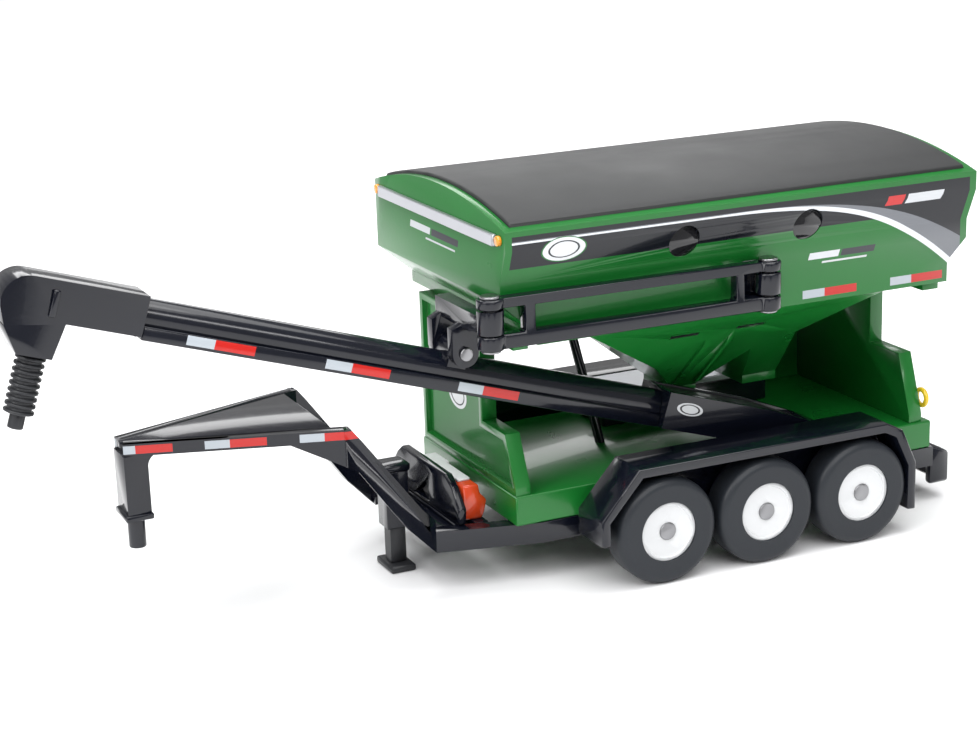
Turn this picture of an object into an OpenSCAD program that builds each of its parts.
// Bulk seed tender trailer on a gooseneck hitch, as a small die-cast collector's replica.
// A green two-funnel grain hopper stands on two bulkheads over a three-axle black chassis.
// A folding unloading conveyor hangs from a swing arm on the left side.
// Millimetres. +X points to the rear, -Y to the conveyor side and +Z up.
// The origin is at the centre of the overall box, on the ground.

/* [Hopper] */
// Length over the rim
hopper_len = 59.6; // [54:0.2:66]
// Width over the rim
hopper_w = 35.5; // [33:0.1:38]
// Height of the rim above the ground
rim_z = 41.3; // [40:0.1:46]
// Height of the lower edge of the side walls
side_base_z = 28.4; // [28:0.1:29]
// Height of the two discharge mouths
mouth_z = 16.8; // [16:0.1:18]
// Thickness of the cast hopper wall
hopper_wall = 0.9; // [0.7:0.05:1.2]
// Depth of the recess that the folded arm lies in
arm_recess = 1.55; // [1.2:0.05:2]
// Overhang of the hopper in front of the front axle
hopper_front = 17.7; // [17:0.1:18.4]
// Rise of the crowned roof above the rim
roof_rise = 2.5; // [2:0.1:3.2]
// Width of the rim left showing around the roof
rim_land = 1.0; // [0.7:0.05:1.4]
// Radius of the round sight windows
window_r = 1.85; // [1.3:0.05:2]

/* [Wheels] */
// Tyre outer radius
tyre_r = 6.1; // [5.6:0.05:6.5]
// Tyre width
tyre_w = 4.1; // [3.8:0.1:4.8]
// Radius of the white wheel disc
disc_r = 3.4; // [3:0.05:4]
// Distance between neighbouring axles
axle_pitch = 12.72; // [12.6:0.02:14]
// Overall width over the tyres
track_w = 40.4; // [39.6:0.1:42]
// Axle wire radius
axle_r = 0.8; // [0.6:0.05:1]
// Radial running clearance around every turning pin and axle
running_gap = 0.06; // [0.03:0.01:0.1]

/* [Chassis] */
// Height of the underside of the frame rails
rail_z = 4.7; // [4.4:0.1:5.4]
// Height of a frame rail
rail_h = 2.4; // [2.1:0.1:2.8]
// Width of a frame rail
rail_w = 1.9; // [1.5:0.1:2.4]
// Width over the base pan
pan_w = 25.8; // [25:0.1:27]
// Height of the base pan's deck above the rails
pan_h = 3.4; // [3:0.1:3.8]
// Sheet thickness of bulkheads, pan and fenders
sheet = 1.1; // [0.9:0.05:1.4]
// Height of the fender tops
fender_z = 13.9; // [13.4:0.05:14.6]
// Width of a fender from its outer lip to its inner wall
fender_w = 5.7; // [5.5:0.05:6]

/* [Gooseneck] */
// Distance of the coupler in front of the front axle
coupler_x = 54; // [50:0.5:58]
// Height of the gooseneck's flat top
neck_z = 20.2; // [19.4:0.1:21]
// Half-width over the neck beams at the knee
knee_half = 9.1; // [8.8:0.1:9.6]
// Depth of the neck's beams
beam_h = 1.35; // [1.2:0.05:1.8]
// Radius of the coupler tube
coupler_r = 0.95; // [0.85:0.05:1.3]
// Radius of the blind socket up the coupler tube
socket_r = 0.55; // [0.4:0.05:0.65]
// Depth of the socket
socket_depth = 3; // [2.5:0.1:3.4]
// Stroke of the landing jack
jack_stroke = 3.6; // [2.5:0.1:4]

/* [Conveyor] */
// Slope of the folded conveyor in degrees
conveyor_tilt = 17.7; // [16:0.1:18]
// Distance of the conveyor's centre line from the middle of the trailer
conveyor_y = 9.4; // [9:0.1:10]
// Radius of the round conveyor tube
tube_r = 1.95; // [1.7:0.05:2.1]
// Wall of the conveyor tube
tube_wall = 0.45; // [0.35:0.05:0.6]
// Length from the pivot to the discharge head
front_reach = 35.0; // [32:0.2:36]
// Length from the pivot to the boot
rear_reach = 26.3; // [25:0.1:27]
// Radius of the discharge head's rounded end
head_r = 2.75; // [2.5:0.05:3]
// Radius of the yoke's pivot pin
pivot_r = 0.48; // [0.4:0.02:0.5]
// Length of the ribbed spout
spout_len = 6.2; // [5:0.2:8]
// Radius of the spout's ribs
spout_r = 1.55; // [1.4:0.05:1.7]

/* [Swing arm] */
// Length of the arm between its two vertical hinges
arm_len = 33.2; // [32:0.1:34]
// Angle of the folded arm to the trailer in degrees
arm_yaw = 1.5; // [0.5:0.1:1.7]
// Thickness of the arm
arm_t = 1.6; // [1.3:0.05:1.8]
// Height of the arm
arm_h = 5.5; // [5:0.1:6]
// Radius of the vertical hinge pins
hinge_r = 0.7; // [0.6:0.05:0.8]

/* [Hidden] */
$fn = 64;
eps = 0.01;

// Stations along the trailer, measured from the front axle
hopper_x0 = -hopper_front;
hopper_x1 = hopper_x0 + hopper_len;
half_w = hopper_w / 2;
wall_y = half_w - arm_recess;
axle_x = [0, axle_pitch, 2 * axle_pitch];
pan_z = rail_z + rail_h;
deck_z = pan_z + pan_h;
pan_x0 = hopper_x0 + 2.7;
pan_x1 = hopper_x1 - 1.8;
rail_y = pan_w / 2 - rail_w;
bulk_front_x = pan_x0 + 0.8;
bulk_rear_x = pan_x1 - 1.9 - sheet;

// Hopper outline stations
end_step_front = 4.2;
end_step_rear = 2.6;
end_step_z = 33.3;
belly_front_z = 29.7;
belly_rear_z = 30.8;
recess_z1 = side_base_z + 7.1;
recess_z2 = rim_z - 2.1;
mouth_half_y = 3.4;
front_mouth_x = hopper_x0 + 29.3;
front_mouth_half = 1.6;
rear_mouth_x = front_mouth_x + 10.3;
rear_mouth_half = 2.3;
front_slope_x = hopper_x0 + 10.5;
rear_slope_x = hopper_x1 - 11.5;
front_knee = [hopper_x0 + 23, mouth_z + 4.1];
rear_knee = [rear_mouth_x + 0.3, mouth_z + 6.8];
ridge_x = front_mouth_x + 5.8;
ridge_z = mouth_z + 5;
roof_z = rim_z - 0.9;
roof_gap = 0.02;
recess_depth = 0.35;
roof_lift = 0.4;
rib_h = 0.35;
rib_w = 0.8;
flange_out = 0.7;
flange_w = 0.8;
neck_y = 4.3;
shoulder_y = 10.2;
front_shoulder_z = 17;
rear_shoulder_z = 18.6;
front_wing_y = 13;
rear_wing_y = 14.6;
wing_t = 1.2;

// Wheels
track_half = track_w / 2;
disc_w = tyre_w - 0.9;
rivet_r = 1.0;
rivet_h = 0.25;
hanger_w = 1.6;
hanger_y = rail_y - hanger_w;
fender_in_y = track_half - fender_w;
fender_front = -tyre_r - 2.2;
fender_rear = 2 * axle_pitch + tyre_r + 1.2;
fender_low_z = tyre_r - 0.4;
fender_tail_z = 2.9;

// Gooseneck
neck_tip_x = -coupler_x - 1.2;
knee_x = -32.7;
neck_foot_x = -23.4;
foot_half = knee_half + 0.8;
tip_half = 1.7;
beam_t = 1.3;
gusset_drop = 3.0;
splay_x = pan_x0 + 3;
rail_splay = (rail_y - foot_half + rail_w) / (splay_x - neck_foot_x);
plate_t = 0.8;
post_half = 2;
post_len = 2.6;
fillet_r = 1.4;
flange_z = 11.6;
flange_t = 0.7;
tube_end_z = 8.1;
sleeve_half = 1.4;
jack_x = neck_foot_x - 0.9;
leg_half = 0.95;
sleeve_z0 = rail_z + 0.3;
sleeve_z1 = 12.6;
jack_slip = 0.08;
foot_t = 0.8;
foot_half_x = 1.5;
foot_half_y = 2.35;
leg_top_z = sleeve_z1 - jack_stroke - sheet - 0.2;

// Shield, engine, tank and brace
shield_x = -20.5;
shield_t = 1;
shield_top = 12.1;
engine_x = shield_x + shield_t + 0.2;
engine_y0 = -8.3;
engine_y1 = -0.4;
engine_top = 11.2;
tank_x0 = 5;
tank_x1 = 28;
tank_y0 = 4.6;
tank_y1 = 11;
tank_h = 3.6;
lid_over = 0.4;
lid_t = 0.7;
brace_x = 2.4;
brace_r = 0.55;
brace_lean = 14;

// Swing arm hinges, seen from above
wall_hinge_x = 13.7;
wall_hinge_y = -half_w - 0.55;
yoke_hinge_x = wall_hinge_x - arm_len * cos(arm_yaw);
yoke_hinge_y = wall_hinge_y + arm_len * sin(arm_yaw);
arm_z0 = side_base_z + 0.7;
arm_z1 = arm_z0 + arm_h;
bar_top_h = 1.1;
bar_low_h = 1.6;
knuckle_r = 1.45;
knuckle_gap = 0.15;
lug_z0 = arm_z0 + bar_low_h + knuckle_gap;
lug_z1 = arm_z1 - bar_top_h - knuckle_gap;
cap_h = 0.3;

// Yoke and conveyor pivot
pivot_x = -20.3;
pivot_z = 27.58;
yoke_half_in = 2.05;
yoke_t = 1.3;
yoke_len = 3;
beam_front = 0.4;
beam_rear = 1.4;
yoke_beam_z0 = 30.6;
yoke_beam_h = 2.1;
beam_y0 = -5.6;
beam_y1 = 3.5;
lug_gap = 0.12;
lug_wall = 0.45;
tube_drop = 2.5;
channel_half = 2.35;
channel_h = 1.5;
channel_z = -tube_drop - 2.05;
boot_len = 22;
boot_half = 3.2;
boot_top = -0.2;
boot_low = -4.4;
head_x = -front_reach - 11.8;
head_half = 2.45;
head_z = -tube_drop - 0.25;
head_low = -tube_drop - 1.7;
throat_len = 3.7;
throat_x0 = head_x - 0.15;
throat_x1 = head_x + 3.45;
spout_x = head_x + 2;
spout_top = head_low - throat_len;
tip_len = 1.6;
rib_count = 9;
neck_r = 1.0;
bore_r = 0.5;

// Ends of the whole trailer
bumper_x1 = pan_x1 + 3.2;
lamp_out = 0.35;
tip_r = spout_r - 0.75;
tip_low = spout_top - spout_len - tip_len;
rib_end = (spout_x - spout_r) * cos(conveyor_tilt) + (spout_top - spout_len) * sin(conveyor_tilt);
tip_end = (spout_x - tip_r) * cos(conveyor_tilt) + tip_low * sin(conveyor_tilt);
drum_end = head_x * cos(conveyor_tilt) - tube_drop * sin(conveyor_tilt) - head_r;
front_end = pivot_x + min(rib_end, tip_end, drum_end);
rear_end = bumper_x1 + lamp_out;
origin_x = -(front_end + rear_end) / 2;

// Paint and plastic colours
green = [0.10, 0.45, 0.16];
black = [0.05, 0.06, 0.07];
silver = [0.75, 0.76, 0.78];

// Moves stations measured from the front axle into the part's frame
module placed() { translate([origin_x, 0, 0]) children(); }

// Extrudes a side view (x, z) across the trailer from y0 to y1
module side_cut(points, y0, y1) {
    translate([0, y1, 0]) rotate([90, 0, 0]) linear_extrude(y1 - y0) polygon(points);
}

// Extrudes an end view (y, z) along the trailer from x0 to x1
module end_cut(points, x0, x1) {
    translate([x0, 0, 0]) rotate([90, 0, 90]) linear_extrude(x1 - x0) polygon(points);
}

// Extrudes a top view (x, y) from z0 to z1
module plan_cut(points, z0, z1) { translate([0, 0, z0]) linear_extrude(z1 - z0) polygon(points); }

// Box given by its lowest and highest corner
module block(low, high) { translate(low) cube(high - low); }

// Cylinder across the trailer from y0 to y1
module cross_rod(x, z, r, y0, y1) { translate([x, y1, z]) rotate([90, 0, 0]) cylinder(r = r, h = y1 - y0); }

// Upright cylinder from z0 to z1
module post_rod(x, y, r, z0, z1) { translate([x, y, z0]) cylinder(r = r, h = z1 - z0); }

// ---------------------------------------------------------------- hopper

// Unit vector along v, and its left-hand normal
function unit(v) = v / norm(v);
function left_of(v) = [-v[1], v[0]];

// Closed outline (anticlockwise) with every edge moved inwards by t, corners mitred
function inset(points, t) = [for (i = [0:len(points) - 1]) let(
    n = len(points),
    before = left_of(unit(points[i] - points[(i + n - 1) % n])),
    after = left_of(unit(points[(i + 1) % n] - points[i])))
    points[i] + t * (before + after) / (1 + before * after)];

// Side view (x, z) of the hopper: two leaning funnels under a box with stepped ends
function side_outline(top, low) = [
    [hopper_x0, top], [hopper_x0, end_step_z], [hopper_x0 + end_step_front, belly_front_z],
    [hopper_x0 + end_step_front, side_base_z], [front_slope_x, side_base_z], front_knee,
    [front_mouth_x - front_mouth_half, mouth_z], [front_mouth_x - front_mouth_half, low],
    [front_mouth_x + front_mouth_half, low], [front_mouth_x + front_mouth_half, mouth_z + 0.4],
    [ridge_x, ridge_z], [rear_mouth_x - rear_mouth_half, mouth_z],
    [rear_mouth_x - rear_mouth_half, low], [rear_mouth_x + rear_mouth_half, low],
    [rear_mouth_x + rear_mouth_half, mouth_z], rear_knee, [rear_slope_x, side_base_z],
    [hopper_x1 - end_step_rear, side_base_z], [hopper_x1 - end_step_rear, belly_rear_z],
    [hopper_x1, end_step_z], [hopper_x1, top]];

// End view (y, z) of the hopper, with the arm's recess on the left side
function end_outline(top, low) = [
    [-half_w, top], [-half_w, recess_z2], [-wall_y, recess_z1], [-wall_y, side_base_z],
    [-mouth_half_y, mouth_z], [-mouth_half_y, low], [mouth_half_y, low],
    [mouth_half_y, mouth_z], [half_w, side_base_z], [half_w, top]];

// Both views pulled in by t; top and low are the heights where the solid ends
module hopper_solid(t, top, low) {
    intersection() {
        side_cut(inset(side_outline(top + t, low - t), t), -half_w, half_w);
        end_cut(inset(end_outline(top + t, low - t), t), hopper_x0, hopper_x1);
    }
}

// Solid under the crown: an arc over the rim's width, lowered by drop, from x0 to x1
crown_r = (pow(half_w, 2) + pow(roof_rise, 2)) / (2 * roof_rise);
module under_crown(drop, x0, x1) {
    translate([x0, 0, rim_z + roof_rise - drop - crown_r]) rotate([0, 90, 0])
        cylinder(r = crown_r, h = x1 - x0, $fn = 128);
}

// Round recess for a sight window in the left side, at height z, axis out of the wall
module window_seat(x, y, z, lean, depth, r) {
    translate([x, y, z]) rotate([90 + lean, 0, 0]) translate([0, 0, -depth]) cylinder(r = r, h = 2 * depth);
}

// Upper windows are bored level into the side above the recess, lower ones square into the funnels
upper_windows = [hopper_x0 + 21.6, hopper_x0 + 37.3];
lower_windows = [hopper_x0 + 23.6, hopper_x0 + 32.2];
slope_run = (wall_y - mouth_half_y) / (side_base_z - mouth_z);
funnel_lean = -atan(slope_run);
upper_window_z = rim_z - 3.65;
lower_window_drop = 2.4;
lower_window_z = side_base_z - lower_window_drop;
upper_window_y = -half_w + 1.45;
upper_seat = 0.75;
lower_window_y = -wall_y + lower_window_drop * slope_run;

module window_seats(depth, r, front_y) {
    for (x = upper_windows) cross_rod(x, upper_window_z, r, front_y, upper_window_y);
    for (x = lower_windows) window_seat(x, lower_window_y, lower_window_z, funnel_lean, depth, r);
}

// Point (y, z) on the left funnel slope at height z, moved out of the slope by out
function slope_point(z, out) = [
    -mouth_half_y - (z - mouth_z) * slope_run - out * cos(funnel_lean),
    z + out * sin(funnel_lean)];

// Two upright ribs of the chute on the front funnel
module chute_ribs() {
    for (x = [front_mouth_x - 2.2, front_mouth_x + 0.8])
        end_cut([
            slope_point(mouth_z + 8, -rib_h), slope_point(mouth_z + 8, 0),
            slope_point(mouth_z + 7.4, rib_h), slope_point(mouth_z + 1, rib_h),
            slope_point(mouth_z + 0.4, 0), slope_point(mouth_z + 0.4, -rib_h)], x, x + rib_w);
}

module hopper_shell() {
    color(green) placed() difference() {
        union() {
            intersection() {
                hopper_solid(0, rim_z + roof_rise, mouth_z - 1);
                under_crown(0, hopper_x0, hopper_x1);
            }
            chute_ribs();
        }
        hopper_solid(hopper_wall, roof_z + eps, mouth_z - 2);
        block([hopper_x0 + rim_land, -half_w + rim_land, roof_z],
              [hopper_x1 - rim_land, half_w - rim_land, rim_z + roof_rise + 1]);
        window_seats(recess_depth, window_r, -half_w - 1);
    }
}

// Round black windows, seated in the wall's shallow recesses
module sight_windows() {
    color(black) placed() intersection() {
        window_seats(recess_depth, window_r - 0.03, -half_w + upper_seat);
        hopper_solid(0.05, rim_z, mouth_z);
    }
}

// Upright plate that parts the hopper into two compartments, standing on the ridge
module hopper_divider() {
    color(green) placed() intersection() {
        hopper_solid(hopper_wall, roof_z, mouth_z);
        block([ridge_x - sheet / 2, -half_w, ridge_z], [ridge_x + sheet / 2, half_w, roof_z]);
    }
}

// Crowned roof shell, dropped into the rim
module roof_cover() {
    edge = rim_land + roof_gap;
    inner = edge + sheet;
    top = rim_z + roof_rise + roof_lift;
    color(black) placed() difference() {
        intersection() {
            block([hopper_x0 + edge, -half_w + edge, roof_z], [hopper_x1 - edge, half_w - edge, top]);
            under_crown(-roof_lift, hopper_x0, hopper_x1);
        }
        intersection() {
            block([hopper_x0 + inner, -half_w + inner, roof_z - 1], [hopper_x1 - inner, half_w - inner, top]);
            under_crown(sheet - roof_lift, hopper_x0, hopper_x1);
        }
    }
}

// Silver light bar along the top of the front face
module front_light_bar() {
    half = half_w - 2.0;
    color(silver) placed() block([hopper_x0 - 0.55, -half, rim_z - 1.75], [hopper_x0, half, rim_z - 0.45]);
}

// Amber marker lamps at the bar's two ends
module marker_lamps() {
    color("orange") placed() for (side = [-1, 1])
        translate([hopper_x0 - 0.5, side * (half_w - 1.2), rim_z - 1]) rotate([0, 90, 0])
            cylinder(r = 0.55, h = 0.5, $fn = 32);
}

// ---------------------------------------------------------------- bulkheads and base

// Outline (y, z) of a bulkhead: full width on the right, notched for the conveyor on the left
function bulkhead_outline(shoulder_z) = [
    [pan_w / 2 - 0.4, deck_z], [pan_w / 2 - 0.4, side_base_z], [-neck_y, side_base_z],
    [-neck_y, shoulder_z], [-shoulder_y, shoulder_z], [-pan_w / 2 + 0.3, deck_z + 1],
    [-pan_w / 2 + 0.3, deck_z]];

// Plate with a raised flange around its edge, facing away from the hopper, and a wing under its rim
module bulkhead(x, flange_side, shoulder_z, wing_y) {
    flange_x = flange_side < 0 ? x - flange_out : x + sheet;
    end_cut(bulkhead_outline(shoulder_z), x, x + sheet);
    block([min(x, flange_x), -wing_y, side_base_z - wing_t],
          [max(x, flange_x) + sheet, sheet - neck_y, side_base_z]);
    difference() {
        end_cut(bulkhead_outline(shoulder_z), flange_x, flange_x + flange_out);
        end_cut(inset(bulkhead_outline(shoulder_z), flange_w), flange_x - 1, flange_x + flange_out + 1);
    }
}

module front_bulkhead() {
    color(green) placed() bulkhead(bulk_front_x, -1, front_shoulder_z, front_wing_y);
}

// Rear bulkhead with a cheek on its right that closes the space behind the rear funnel
cheek_y = tank_y1 + 0.6;
cheek_run = 11.4;
cheek_t = 0.9;
module rear_bulkhead() {
    top = side_base_z - 0.4;
    color(green) placed() {
        bulkhead(bulk_rear_x, 1, rear_shoulder_z, rear_wing_y);
        side_cut([[bulk_rear_x - cheek_run, deck_z], [bulk_rear_x + eps, deck_z], [bulk_rear_x + eps, top],
                  [rear_slope_x, top], [bulk_rear_x - cheek_run, top - 2.6]], cheek_y, cheek_y + cheek_t);
    }
}

// Inverted tray that the bulkheads stand on
module base_pan() {
    color(green) placed() difference() {
        block([pan_x0, -pan_w / 2, pan_z], [pan_x1, pan_w / 2, deck_z]);
        block([pan_x0 + sheet, -pan_w / 2 + sheet, pan_z - 1],
              [pan_x1 - sheet, pan_w / 2 - sheet, deck_z - sheet]);
    }
}

// ---------------------------------------------------------------- chassis

// Rail with its front end tapered inwards to the gooseneck's foot, bored for the axles
module frame_rail(side) {
    outer = side * pan_w / 2;
    inner = side * rail_y;
    color(black) placed() difference() {
        plan_cut([
            [neck_foot_x, side * (foot_half - rail_w)], [neck_foot_x, side * foot_half],
            [splay_x, outer], [pan_x1 + 0.4, outer], [pan_x1 + 0.4, inner], [splay_x, inner]],
            rail_z, rail_z + rail_h);
        for (x = axle_x) cross_rod(x, tyre_r, axle_r + running_gap, -pan_w / 2 - 1, pan_w / 2 + 1);
    }
}

module frame_rail_left() { frame_rail(-1); }
module frame_rail_right() { frame_rail(1); }

// Cross members between the rails, clear of the axles; those between the wheels stop at the hangers
member_half = 0.8;
front_members = [neck_foot_x + 1.6, shield_x + 0.6, -17.6];
member_x = [axle_x[0] - 7.4, (axle_x[0] + axle_x[1]) / 2, (axle_x[1] + axle_x[2]) / 2, axle_x[2] + 7.4];
module crossmembers() {
    low = rail_z + 0.3;
    high = rail_z + rail_h;
    color(black) placed() {
        for (x = front_members) {
            half = foot_half - rail_w + (x - member_half - neck_foot_x) * rail_splay;
            block([x - member_half, -half, low], [x + member_half, half, high]);
        }
        for (x = member_x) {
            half = x > axle_x[0] && x < axle_x[2] ? hanger_y : rail_y;
            block([x - member_half, -half, low], [x + member_half, half, high]);
        }
    }
}

// Beam inside one rail with a bored hanger at each axle
module axle_hangers(side) {
    y0 = side < 0 ? -hanger_y - hanger_w : hanger_y;
    boss_r = axle_r + 1.2;
    color(black) placed() difference() {
        union() {
            for (x = axle_x) cross_rod(x, tyre_r, boss_r, y0, y0 + hanger_w);
            block([axle_x[0] - boss_r, y0, tyre_r + 0.2], [axle_x[2] + boss_r, y0 + hanger_w, pan_z]);
        }
        for (x = axle_x) cross_rod(x, tyre_r, axle_r + running_gap, y0 - 1, y0 + hanger_w + 1);
        block([axle_x[0] - boss_r - 1, y0 - 1, pan_z],
              [axle_x[2] + boss_r + 1, y0 + hanger_w + 1, pan_z + boss_r]);
    }
}

module axle_hangers_left() { axle_hangers(-1); }
module axle_hangers_right() { axle_hangers(1); }

// Side view of a fender: angular arch over the three wheels, its tail reaching lower than its nose
fender_arch = [
    [fender_front, fender_low_z], [fender_rear, fender_tail_z], [fender_rear, tyre_r + 2.5],
    [fender_rear - 1.95, fender_z - 1.1], [fender_rear - 4.1, fender_z], [-tyre_r + 2.5, fender_z],
    [fender_front, tyre_r + 2.6]];

// Fender sheet with an inner wall behind the wheels
module fender(side) {
    y_out = side * track_half;
    y_in = side * fender_in_y;
    y0 = min(y_out, y_in);
    y1 = max(y_out, y_in);
    open_y0 = side < 0 ? y0 - 1 : y0 + sheet;
    open_y1 = side < 0 ? y1 - sheet : y1 + 1;
    under = inset(fender_arch, sheet);
    tail_x = fender_rear - sheet;
    color(black) placed() difference() {
        side_cut(fender_arch, y0, y1);
        side_cut([[fender_front + sheet, fender_low_z - 2], [tail_x, fender_low_z - 2], under[2], under[3],
                  under[4], under[5], under[6]], open_y0, open_y1);
        block([fender_front - 1, y0 - 1, 0], [tail_x, y1 + 1, fender_low_z]);
        for (x = axle_x) cross_rod(x, tyre_r, rivet_r + 0.6, y0 - 1, y1 + 1);
    }
}

module fender_left() { fender(-1); }
module fender_right() { fender(1); }

// Small screws in the pan's deck, seen from below
module base_screws() {
    color("silver") placed() for (x = [pan_x0 + 8, pan_x1 - 8], y = [-5, 5])
        difference() {
            post_rod(x, y, 1.1, deck_z - sheet - 0.7, deck_z - sheet);
            block([x - 0.8, y - 0.15, deck_z - sheet - 0.8], [x + 0.8, y + 0.15, deck_z - sheet - 0.4]);
        }
}

// Long hydraulic tank on the right half of the deck, with its pale lid
module hydraulic_tank() {
    color(black) placed() block([tank_x0, tank_y0, deck_z], [tank_x1, tank_y1, deck_z + tank_h]);
}

module tank_lid() {
    low = deck_z + tank_h;
    color(silver) placed() difference() {
        block([tank_x0 - lid_over, tank_y0 - lid_over, low],
              [tank_x1 + lid_over, tank_y1 + lid_over, low + lid_t]);
        post_rod(tank_x1 - 2.5, (tank_y0 + tank_y1) / 2, 0.9, low + lid_t / 2, low + lid_t + 1);
    }
}

// Slanted rod that braces the front funnel against the deck
module hopper_brace() {
    color(black) placed() difference() {
        translate([brace_x, 0, deck_z - 1]) rotate([0, -brace_lean, 0])
            cylinder(r = brace_r, h = 20, $fn = 32);
        hopper_solid(0, rim_z, mouth_z - 1);
        block([brace_x - 3, -3, deck_z - 3], [brace_x + 3, 3, deck_z]);
    }
}

// Angular cross plate between the neck's feet, with one three-cornered window
module front_shield() {
    color(black) placed() difference() {
        end_cut([[-9.4, pan_z], [9.4, pan_z], [9.7, 9], [7.7, 11.1], [6.2, shield_top],
                 [-6.2, shield_top], [-7.7, 11.1], [-9.7, 9]], shield_x, shield_x + shield_t);
        end_cut([[-1.2, 7.7], [2.4, 7.7], [-1.2, 10.5]], shield_x - 1, shield_x + shield_t + 1);
    }
}

// Small engine behind the shield: a block with a stepped cowl, and a pale shroud over its right end
module engine_block() {
    color("orangered") placed() side_cut([
        [engine_x, pan_z], [engine_x + 2.3, pan_z], [engine_x + 2.6, 7.9], [engine_x + 2.9, 9.2],
        [engine_x + 2.1, 10], [engine_x + 1.9, engine_top], [engine_x, engine_top]], engine_y0, engine_y1);
}

module engine_shroud() {
    color("white") placed() {
        block([engine_x + 0.1, engine_y0 + 1.6, engine_top],
              [engine_x + 1.6, engine_y1 + 1, engine_top + 0.35]);
        block([engine_x + 0.1, engine_y1, pan_z], [engine_x + 1.9, engine_y1 + 3.8, engine_top + 0.35]);
    }
}

// ---------------------------------------------------------------- gooseneck

neck_yaw = atan((knee_half - tip_half) / (knee_x - neck_tip_x));
neck_run = (knee_x - neck_tip_x) / cos(neck_yaw);
foot_yaw = atan((foot_half - knee_half) / (neck_foot_x - knee_x));
foot_run = (neck_foot_x - knee_x) / cos(foot_yaw);

// Flat web between the two neck beams, ending short of the knee
module gooseneck_plate() {
    inner = beam_t / cos(neck_yaw);
    rear_x = knee_x - 1.3;
    rear_half = tip_half + (rear_x - neck_tip_x) * tan(neck_yaw) - inner;
    color(black) placed() plan_cut([
        [neck_tip_x, -tip_half + inner], [rear_x, -rear_half], [rear_x, rear_half],
        [neck_tip_x, tip_half - inner]], neck_z - plate_t, neck_z);
}

// One neck beam: level from the tip to the knee, then down to the rail's front end
module gooseneck_beam(side) {
    knee_low = neck_z - beam_h - gusset_drop;
    low = neck_z - beam_h;
    y0 = side < 0 ? 0 : -beam_t;
    color(black) placed() intersection() {
        union() {
            translate([neck_tip_x, side * tip_half, 0]) rotate([0, 0, side * neck_yaw]) side_cut([
                [0, low], [neck_run * 0.74, low], [neck_run, knee_low], [neck_run, neck_z], [0, neck_z]],
                y0, y0 + beam_t);
            translate([knee_x, side * knee_half, 0]) rotate([0, 0, side * foot_yaw]) side_cut([
                [-0.4, knee_low + 0.2], [0, knee_low], [1, knee_low - 0.6], [foot_run - 3.3, rail_z + 3.4],
                [foot_run, rail_z], [foot_run, rail_z + rail_h + 1.4], [foot_run - 1.4, rail_z + rail_h + 2.8],
                [1.4, neck_z - 1.4], [0.3, neck_z], [-0.4, neck_z]], y0, y0 + beam_t);
        }
        block([neck_tip_x, -knee_half - 2, 0], [neck_foot_x, knee_half + 2, neck_z]);
    }
}

module gooseneck_beam_left() { gooseneck_beam(-1); }
module gooseneck_beam_right() { gooseneck_beam(1); }

// Post under the neck's tip, with a hollow fillet behind it
module kingpin_post() {
    low = flange_z + flange_t;
    top = neck_z - beam_h;
    back = -coupler_x + post_len / 2;
    color(black) placed() {
        block([-coupler_x - post_len / 2, -post_half, low], [back, post_half, top]);
        difference() {
            block([back, -post_half, top - fillet_r], [back + fillet_r, post_half, top]);
            cross_rod(back + fillet_r, top - fillet_r, fillet_r, -post_half - 1, post_half + 1);
        }
    }
}

module coupler_flange() {
    color(black) placed() block([-coupler_x - 1.6, -2.2, flange_z],
                                [-coupler_x + 1.5, 2.2, flange_z + flange_t]);
}

// Round coupler with a blind socket up its middle
module coupler_tube() {
    color(black) placed() difference() {
        post_rod(-coupler_x, 0, coupler_r, tube_end_z, flange_z);
        post_rod(-coupler_x, 0, socket_r, tube_end_z - 1, tube_end_z + socket_depth);
    }
}

// ---------------------------------------------------------------- landing jack

module jack_sleeve() {
    color(black) placed() difference() {
        union() {
            block([jack_x - sleeve_half, -sleeve_half, sleeve_z0], [jack_x + sleeve_half, sleeve_half, sleeve_z1]);
            block([jack_x - sleeve_half - 0.2, -sleeve_half - 0.2, sleeve_z1 - 0.8],
                  [jack_x + sleeve_half + 0.2, sleeve_half + 0.2, sleeve_z1]);
        }
        block([jack_x - leg_half - jack_slip, -leg_half - jack_slip, sleeve_z0 - 1],
              [jack_x + leg_half + jack_slip, leg_half + jack_slip, sleeve_z1 - sheet]);
    }
}

module jack_leg() {
    color("dimgray") placed() block([jack_x - leg_half, -leg_half, foot_t], [jack_x + leg_half, leg_half, leg_top_z]);
}

module jack_foot() {
    color("dimgray") placed() block([jack_x - foot_half_x, -foot_half_y, 0], [jack_x + foot_half_x, foot_half_y, foot_t]);
}

// ---------------------------------------------------------------- rear end

// Hollow bumper with a falling top, open underneath
lamp_y = pan_w / 2 - 2.9;
lamp_z = rail_z - 0.5;
module rear_bumper() {
    x0 = pan_x1 + 0.4;
    low = 2.1;
    half = pan_w / 2 - 0.5;
    color(black) placed() difference() {
        side_cut([[x0, low], [bumper_x1, low], [bumper_x1, lamp_z + 1.75], [x0, rail_z + rail_h]], -half, half);
        side_cut([[x0 - 1, low - 1], [bumper_x1 - sheet, low - 1], [bumper_x1 - sheet, lamp_z + 0.2],
                  [x0 - 1, lamp_z + 1]], -half + sheet, half - sheet);
    }
}

// White lamp rings, two solids
module lamp_bezels() {
    color("white") placed() for (side = [-1, 1]) translate([bumper_x1, side * lamp_y, lamp_z])
        rotate([0, 90, 0]) difference() {
            cylinder(r = 1.6, h = lamp_out);
            translate([0, 0, -1]) cylinder(r = 1.15, h = 2);
        }
}

module lamp_lenses() {
    color("red") placed() for (side = [-1, 1]) translate([bumper_x1, side * lamp_y, lamp_z])
        rotate([0, 90, 0]) cylinder(r = 1.13, h = lamp_out - 0.1);
}

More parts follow.
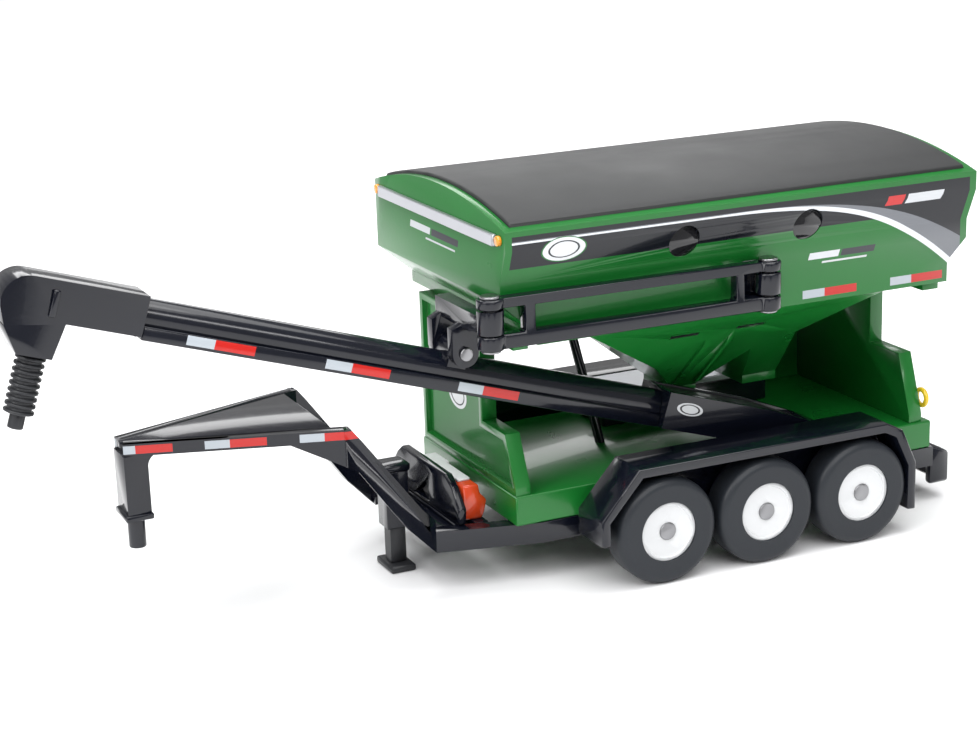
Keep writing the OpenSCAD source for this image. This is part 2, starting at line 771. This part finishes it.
// Round yellow pull ring behind the rear bulkhead's left edge
module rear_handle() {
    wire_r = 0.3;
    color("gold") placed() translate([bulk_rear_x + sheet + flange_out + wire_r, -pan_w / 2 + 0.8, deck_z + 2.8])
        rotate([0, 90, 0]) rotate_extrude() translate([0.95, 0]) circle(r = wire_r);
}

// ---------------------------------------------------------------- wheels

// Axle wire with a flattened rivet head at each end
module axle(x) {
    color("silver") placed() {
        cross_rod(x, tyre_r, axle_r, -track_half + 0.4, track_half - 0.4);
        for (side = [-1, 1]) {
            y = side * (track_half - 0.4);
            cross_rod(x, tyre_r, rivet_r, y - rivet_h / 2, y + rivet_h / 2);
        }
    }
}

// Two white wheel discs, dished on the outside, pressed on the axle
module wheel_discs(x) {
    color("white") placed() for (side = [-1, 1]) translate([x, side * track_half, tyre_r])
        rotate([side * 90, 0, 0]) difference() {
            translate([0, 0, 0.25]) cylinder(r = disc_r, h = disc_w);
            translate([0, 0, 0]) cylinder(r = disc_r - 0.45, h = 0.4);
            translate([0, 0, -1]) cylinder(r = axle_r, h = disc_w + 3);
            translate([0, 0, -1]) cylinder(r = rivet_r, h = 1.4 + rivet_h / 2 + eps);
        }
}

// Two smooth tyres with rounded shoulders
module tyres(x) {
    shoulder = 0.95;
    color([0.13, 0.14, 0.15]) placed() for (side = [-1, 1])
        translate([x, side * (track_half - tyre_w / 2), tyre_r]) rotate([90, 0, 0]) rotate_extrude($fn = 96) {
            translate([disc_r, -tyre_w / 2]) square([tyre_r - disc_r - shoulder, tyre_w]);
            translate([disc_r, shoulder - tyre_w / 2]) square([tyre_r - disc_r, tyre_w - 2 * shoulder]);
            for (end = [-1, 1])
                translate([tyre_r - shoulder, end * (tyre_w / 2 - shoulder)]) circle(r = shoulder);
        }
}

module axle_1() { axle(axle_x[0]); }
module axle_2() { axle(axle_x[1]); }
module axle_3() { axle(axle_x[2]); }
module wheel_discs_1() { wheel_discs(axle_x[0]); }
module wheel_discs_2() { wheel_discs(axle_x[1]); }
module wheel_discs_3() { wheel_discs(axle_x[2]); }
module tyres_1() { tyres(axle_x[0]); }
module tyres_2() { tyres(axle_x[1]); }
module tyres_3() { tyres(axle_x[2]); }

// ---------------------------------------------------------------- swing arm

// Bracket on the hopper wall with the middle knuckle of the rear hinge
module hinge_bracket() {
    color(black) placed() difference() {
        union() {
            post_rod(wall_hinge_x, wall_hinge_y, knuckle_r, lug_z0, lug_z1);
            block([wall_hinge_x - 1.1, wall_hinge_y, lug_z0], [wall_hinge_x + knuckle_r, -wall_y, lug_z1]);
            block([wall_hinge_x - 2.2, -wall_y - 0.4, lug_z0 - 1], [wall_hinge_x + 2.2, -wall_y, lug_z1 + 1]);
        }
        post_rod(wall_hinge_x, wall_hinge_y, hinge_r + running_gap, lug_z0 - 2, lug_z1 + 2);
    }
}

// Pin with a flat head at each end, held in the arm's fork
module hinge_pin(x, y) {
    post_rod(x, y, hinge_r, arm_z0, arm_z1);
    post_rod(x, y, hinge_r + 0.35, arm_z0 - cap_h, arm_z0);
    post_rod(x, y, hinge_r + 0.35, arm_z1, arm_z1 + cap_h);
}

module rear_hinge_pin() { color("silver") placed() hinge_pin(wall_hinge_x, wall_hinge_y); }
module front_hinge_pin() { color("silver") placed() hinge_pin(yoke_hinge_x, yoke_hinge_y); }

// Long window frame with a fork and two round ears at each end
module swing_arm() {
    rear_post = 3.3;
    front_post = arm_len - 4.9;
    half = arm_t / 2;
    color(black) placed() translate([wall_hinge_x, wall_hinge_y, 0]) rotate([0, 0, -arm_yaw]) difference() {
        union() {
            for (z = [[arm_z0, arm_z0 + bar_low_h], [arm_z1 - bar_top_h, arm_z1]]) {
                block([-arm_len, -half, z[0]], [0, half, z[1]]);
                for (x = [-arm_len, 0]) post_rod(x, 0, knuckle_r, z[0], z[1]);
            }
            block([-rear_post - 1, -half, arm_z0], [-rear_post, half, arm_z1]);
            block([-front_post - 1.2, -half, arm_z0], [-front_post, half, arm_z1]);
        }
        for (x = [-arm_len, 0]) post_rod(x, 0, hinge_r, arm_z0 - 1, arm_z1 + 1);
    }
}

// ---------------------------------------------------------------- yoke and conveyor

// Places the yoke: y is 0 on the conveyor's centre line, z is 0 on the pivot pin
module yoke_frame() { placed() translate([pivot_x, -conveyor_y, pivot_z]) children(); }

// Places conveyor pieces: +X runs down the folded conveyor to its boot
module conveyor_frame() { yoke_frame() rotate([0, conveyor_tilt, 0]) children(); }

// Fork astride the conveyor, under a beam that ends in the knuckle of the arm's hinge
module yoke() {
    out = yoke_half_in + yoke_t;
    low = yoke_beam_z0 - pivot_z;
    high = low + yoke_beam_h;
    half = yoke_len / 2;
    hinge = [yoke_hinge_x - pivot_x, yoke_hinge_y + conveyor_y];
    lug_low = lug_z0 - pivot_z;
    lug_high = lug_z1 - pivot_z;
    color(black) yoke_frame() difference() {
        union() {
            for (y = [-out, yoke_half_in]) {
                side_cut([[-half, 0], [half, 0], [half, low], [beam_rear, low + 0.4], [-beam_front, low + 0.4],
                          [-half, low - 0.2]], y, y + yoke_t);
                cross_rod(0, 0, half, y, y + yoke_t);
            }
            block([-beam_front, beam_y0, low], [beam_rear, beam_y1, high]);
            block([-beam_front, hinge[1], lug_low], [hinge[0] + 0.6, beam_y0, min(lug_high, high)]);
            post_rod(hinge[0], hinge[1], knuckle_r, lug_low, lug_high);
        }
        for (y = [-out, yoke_half_in]) cross_rod(0, 0, pivot_r, y - 1, y + yoke_t + 1);
        post_rod(hinge[0], hinge[1], hinge_r + running_gap, lug_low - 1, lug_high + 1);
    }
}

// Pivot pin riveted over the fork's two plates
module pivot_pin() {
    out = yoke_half_in + yoke_t;
    color("silver") yoke_frame() {
        cross_rod(0, 0, pivot_r, -out, out);
        cross_rod(0, 0, pivot_r + 0.25, -out - cap_h, -out);
        cross_rod(0, 0, pivot_r + 0.25, out, out + cap_h);
    }
}

module tube_core(r, x0, x1) {
    translate([x0, 0, -tube_drop]) rotate([0, 90, 0]) cylinder(r = r, h = x1 - x0);
}

// Round conveyor tube
module conveyor_tube() {
    color(black) conveyor_frame() difference() {
        tube_core(tube_r, -front_reach, rear_reach);
        tube_core(tube_r - tube_wall, -front_reach - 1, rear_reach + 1);
    }
}

// Channel that the tube lies in, from the head to the boot
module conveyor_channel() {
    color(black) conveyor_frame() difference() {
        block([-front_reach, -channel_half, channel_z], [rear_reach, channel_half, channel_z + channel_h]);
        tube_core(tube_r, -front_reach - 1, rear_reach + 1);
    }
}

// Bushing on the pivot pin, standing on a saddle on the tube
module pivot_lugs() {
    half = yoke_half_in - lug_gap;
    saddle = 1.1;
    color(black) conveyor_frame() difference() {
        union() {
            cross_rod(0, 0, pivot_r + running_gap + lug_wall, -half, half);
            block([-saddle, -half, -tube_drop], [saddle, half, 0]);
        }
        tube_core(tube_r, -3, 3);
        block([-2, -half - 1, -tube_drop - 1], [2, half + 1, -tube_drop + 0.6]);
        cross_rod(0, 0, pivot_r + running_gap, -half - 1, half + 1);
    }
}

// Wide boot at the conveyor's low end, open on top, with its underside rising to the tail
boot_wall = 0.8;
tail_z = boot_top - 0.65;
tail_h = 0.7;
module conveyor_boot() {
    x1 = rear_reach + boot_len;
    color(black) conveyor_frame() difference() {
        side_cut([[rear_reach, boot_low], [rear_reach + 12, boot_low], [x1, tail_z - tail_h], [x1, tail_z],
                  [rear_reach + 14, boot_top], [rear_reach, boot_top]], -boot_half, boot_half);
        side_cut([[rear_reach + boot_wall, boot_low + boot_wall], [rear_reach + 11.6, boot_low + boot_wall],
                  [x1 - 2, tail_z - tail_h], [x1 - 2, 1], [rear_reach + boot_wall, 1]],
                 -boot_half + boot_wall, boot_half - boot_wall);
        tube_core(tube_r - tube_wall, rear_reach - 1, rear_reach + 2);
    }
}

// Cover sheet lying in the boot's mouth
module boot_cover() {
    x1 = rear_reach + boot_len - 2;
    drop = 0.15;
    cover_t = 0.35;
    color([0.09, 0.10, 0.11]) conveyor_frame() side_cut([
        [rear_reach + boot_wall, boot_top - drop - cover_t], [rear_reach + 13.8, boot_top - drop - cover_t],
        [x1, tail_z - drop - cover_t], [x1, tail_z - drop], [rear_reach + 13.9, boot_top - drop],
        [rear_reach + boot_wall, boot_top - drop]], -boot_half + boot_wall, boot_half - boot_wall);
}

// Side view of the discharge head: a box on the tube's end, a round nose and a tapering throat
head_wall = 0.8;
nose_low = [head_x - head_r + 0.1, head_z - 0.75];
head_side = [
    [throat_x0, spout_top], [throat_x1, spout_top],
    [throat_x1 + 0.6, head_low], [-front_reach, head_low],
    [-front_reach, head_z + head_r], [head_x, head_z + head_r], [head_x, head_low],
    [head_x - 1.95, head_low - 1.1]];
module discharge_head() {
    nose = [[throat_x0, spout_top], [head_x, head_z], nose_low, [head_x - head_r + 0.75, head_low - 0.9]];
    color(black) conveyor_frame() difference() {
        union() {
            cross_rod(head_x, head_z, head_r, -head_half, head_half);
            side_cut(head_side, -head_half, head_half);
            side_cut(nose, -head_half, head_half);
        }
        cross_rod(head_x, head_z, head_r - head_wall, -head_half + head_wall, head_half - head_wall);
        block([head_x, -head_half + head_wall, head_low + head_wall],
              [-front_reach - 1, head_half - head_wall, head_z + head_r - head_wall]);
        block([spout_x - neck_r, -neck_r, spout_top + head_wall], [spout_x + neck_r, neck_r, -tube_drop]);
        tube_core(tube_r - tube_wall, head_x, -front_reach + 1);
        translate([spout_x, 0, spout_top - 1]) cylinder(r = neck_r + running_gap, h = 4);
    }
}

// Small upright bracket on the head's left face
module head_cap() {
    x = head_x + 2.1;
    color(black) conveyor_frame() block([x, -head_half - 0.35, head_low + 0.5], [x + 0.7, -head_half, head_z + 1.8]);
}

// Ribbed spout: a sleeve with rings, and a neck that turns in the head's throat
module spout_ribbed() {
    pitch = spout_len / rib_count;
    neck_len = head_wall + 0.25;
    color([0.12, 0.13, 0.14]) conveyor_frame() translate([spout_x, 0, spout_top - spout_len]) difference() {
        union() {
            cylinder(r = spout_r - 0.3, h = spout_len - running_gap);
            for (i = [0:rib_count - 1]) translate([0, 0, i * pitch]) cylinder(r = spout_r, h = 0.5 * pitch);
            cylinder(r = neck_r, h = spout_len + neck_len);
        }
        translate([0, 0, -1]) cylinder(r = bore_r, h = spout_len + neck_len + 2);
    }
}

// Plain outlet tube under the ribs
module spout_tip() {
    color([0.12, 0.13, 0.14]) conveyor_frame() translate([spout_x, 0, tip_low]) difference() {
        cylinder(r = tip_r, h = tip_len);
        translate([0, 0, -1]) cylinder(r = bore_r, h = tip_len + 2);
    }
}

hopper_shell();
hopper_divider();
roof_cover();
sight_windows();
front_light_bar();
marker_lamps();
front_bulkhead();
rear_bulkhead();
base_pan();
frame_rail_left();
frame_rail_right();
crossmembers();
axle_hangers_left();
axle_hangers_right();
fender_left();
fender_right();
base_screws();
hydraulic_tank();
tank_lid();
hopper_brace();
front_shield();
engine_block();
engine_shroud();
gooseneck_plate();
gooseneck_beam_left();
gooseneck_beam_right();
kingpin_post();
coupler_flange();
coupler_tube();
jack_sleeve();
jack_leg();
jack_foot();
rear_bumper();
lamp_bezels();
lamp_lenses();
rear_handle();
hinge_bracket();
rear_hinge_pin();
swing_arm();
front_hinge_pin();
yoke();
pivot_pin();
conveyor_tube();
conveyor_channel();
pivot_lugs();
conveyor_boot();
boot_cover();
discharge_head();
head_cap();
spout_ribbed();
spout_tip();
axle_1();
axle_2();
axle_3();
wheel_discs_1();
wheel_discs_2();
wheel_discs_3();
tyres_1();
tyres_2();
tyres_3();
